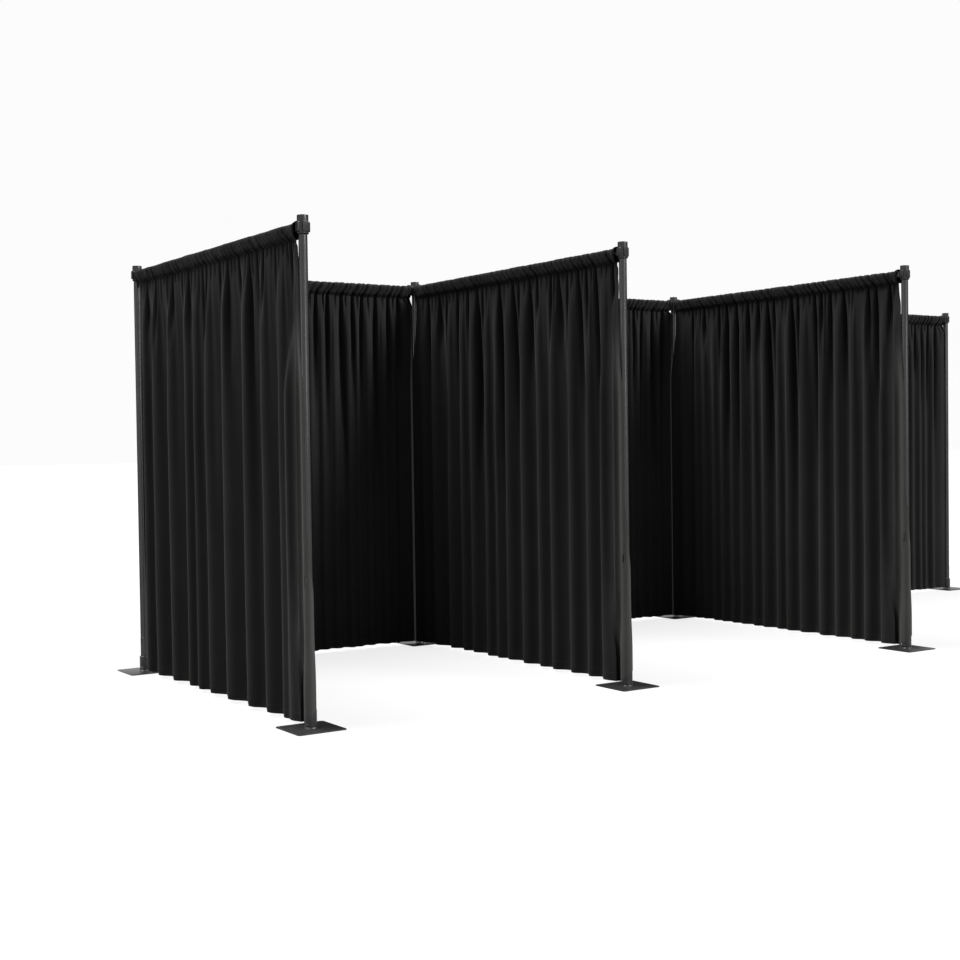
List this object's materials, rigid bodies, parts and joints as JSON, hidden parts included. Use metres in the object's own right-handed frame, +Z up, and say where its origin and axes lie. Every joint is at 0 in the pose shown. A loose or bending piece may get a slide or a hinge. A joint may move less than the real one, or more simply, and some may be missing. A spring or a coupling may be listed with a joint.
{
  "type": "pipe and drape backdrop",
  "caption": "Row of open-fronted booths walled by gathered black drapes on telescopic crossbars, hooked between uprights on flat steel bases.",
  "frame": {"origin": "on the floor, under the middle of the row", "axes": "+Z up, +X along the row from the walled end to the open end, +Y from the open fronts to the back walls"},
  "size_m": [8.6, 2.77, 2.74],
  "materials": {
    "base_paint": "satin black powder coat on steel",
    "upright_tube": "satin black anodised tube",
    "head_paint": "satin black on pressed steel",
    "bar_tube": "satin black anodised tube",
    "bare_tube": "mill finish",
    "hook_steel": "satin black on bent steel",
    "guide_plastic": "matte",
    "drape_cloth": "matte black woven polyester"
  },
  "bodies": {
    "rear_row": {"rear_1_base": "base_paint", "rear_1_upright": "upright_tube", "rear_1_head": "head_paint", "rear_2_base": "base_paint", "rear_2_upright": "upright_tube", "rear_2_head": "head_paint", "rear_3_base": "base_paint", "rear_3_upright": "upright_tube", "rear_3_head": "head_paint", "rear_4_base": "base_paint", "rear_4_upright": "upright_tube", "rear_4_head": "head_paint", "side_1_outer_tube": "bar_tube", "side_1_guide_bush": "guide_plastic", "side_1_rear_hook": "hook_steel", "side_1_drape": "drape_cloth", "side_2_outer_tube": "bar_tube", "side_2_guide_bush": "guide_plastic", "side_2_rear_hook": "hook_steel", "side_2_drape": "drape_cloth", "side_3_outer_tube": "bar_tube", "side_3_guide_bush": "guide_plastic", "side_3_rear_hook": "hook_steel", "side_3_drape": "drape_cloth"},
    "front_stand_1": {"front_1_base": "base_paint", "front_1_upright": "upright_tube", "front_1_head": "head_paint", "side_1_inner_tube": "bare_tube", "side_1_front_hook": "hook_steel"},
    "front_stand_2": {"front_2_base": "base_paint", "front_2_upright": "upright_tube", "front_2_head": "head_paint", "side_2_inner_tube": "bare_tube", "side_2_front_hook": "hook_steel"},
    "front_stand_3": {"front_3_base": "base_paint", "front_3_upright": "upright_tube", "front_3_head": "head_paint", "side_3_inner_tube": "bare_tube", "side_3_front_hook": "hook_steel"},
    "back_wall_1": {"back_1_outer_tube": "bar_tube", "back_1_guide_bush": "guide_plastic", "back_1_inner_tube": "bare_tube", "back_1_left_hook": "hook_steel", "back_1_right_hook": "hook_steel", "back_1_drape": "drape_cloth"},
    "back_wall_2": {"back_2_outer_tube": "bar_tube", "back_2_guide_bush": "guide_plastic", "back_2_inner_tube": "bare_tube", "back_2_left_hook": "hook_steel", "back_2_right_hook": "hook_steel", "back_2_drape": "drape_cloth"},
    "back_wall_3": {"back_3_outer_tube": "bar_tube", "back_3_guide_bush": "guide_plastic", "back_3_inner_tube": "bare_tube", "back_3_left_hook": "hook_steel", "back_3_right_hook": "hook_steel", "back_3_drape": "drape_cloth"}
  },
  "joints": [
    {"name": "side_1_telescope", "type": "slide", "parent": "rear_row", "child": "front_stand_1", "axis": [0, -1, 0], "range_m": [0, 1.17]},
    {"name": "side_2_telescope", "type": "slide", "parent": "rear_row", "child": "front_stand_2", "axis": [0, -1, 0], "range_m": [0, 1.17]},
    {"name": "side_3_telescope", "type": "slide", "parent": "rear_row", "child": "front_stand_3", "axis": [0, -1, 0], "range_m": [0, 1.17]},
    {"name": "back_1_lift", "type": "slide", "parent": "rear_row", "child": "back_wall_1", "axis": [0, 0, 1], "range_m": [0, 0.08]},
    {"name": "back_2_lift", "type": "slide", "parent": "rear_row", "child": "back_wall_2", "axis": [0, 0, 1], "range_m": [0, 0.08]},
    {"name": "back_3_lift", "type": "slide", "parent": "rear_row", "child": "back_wall_3", "axis": [0, 0, 1], "range_m": [0, 0.08]}
  ]
}
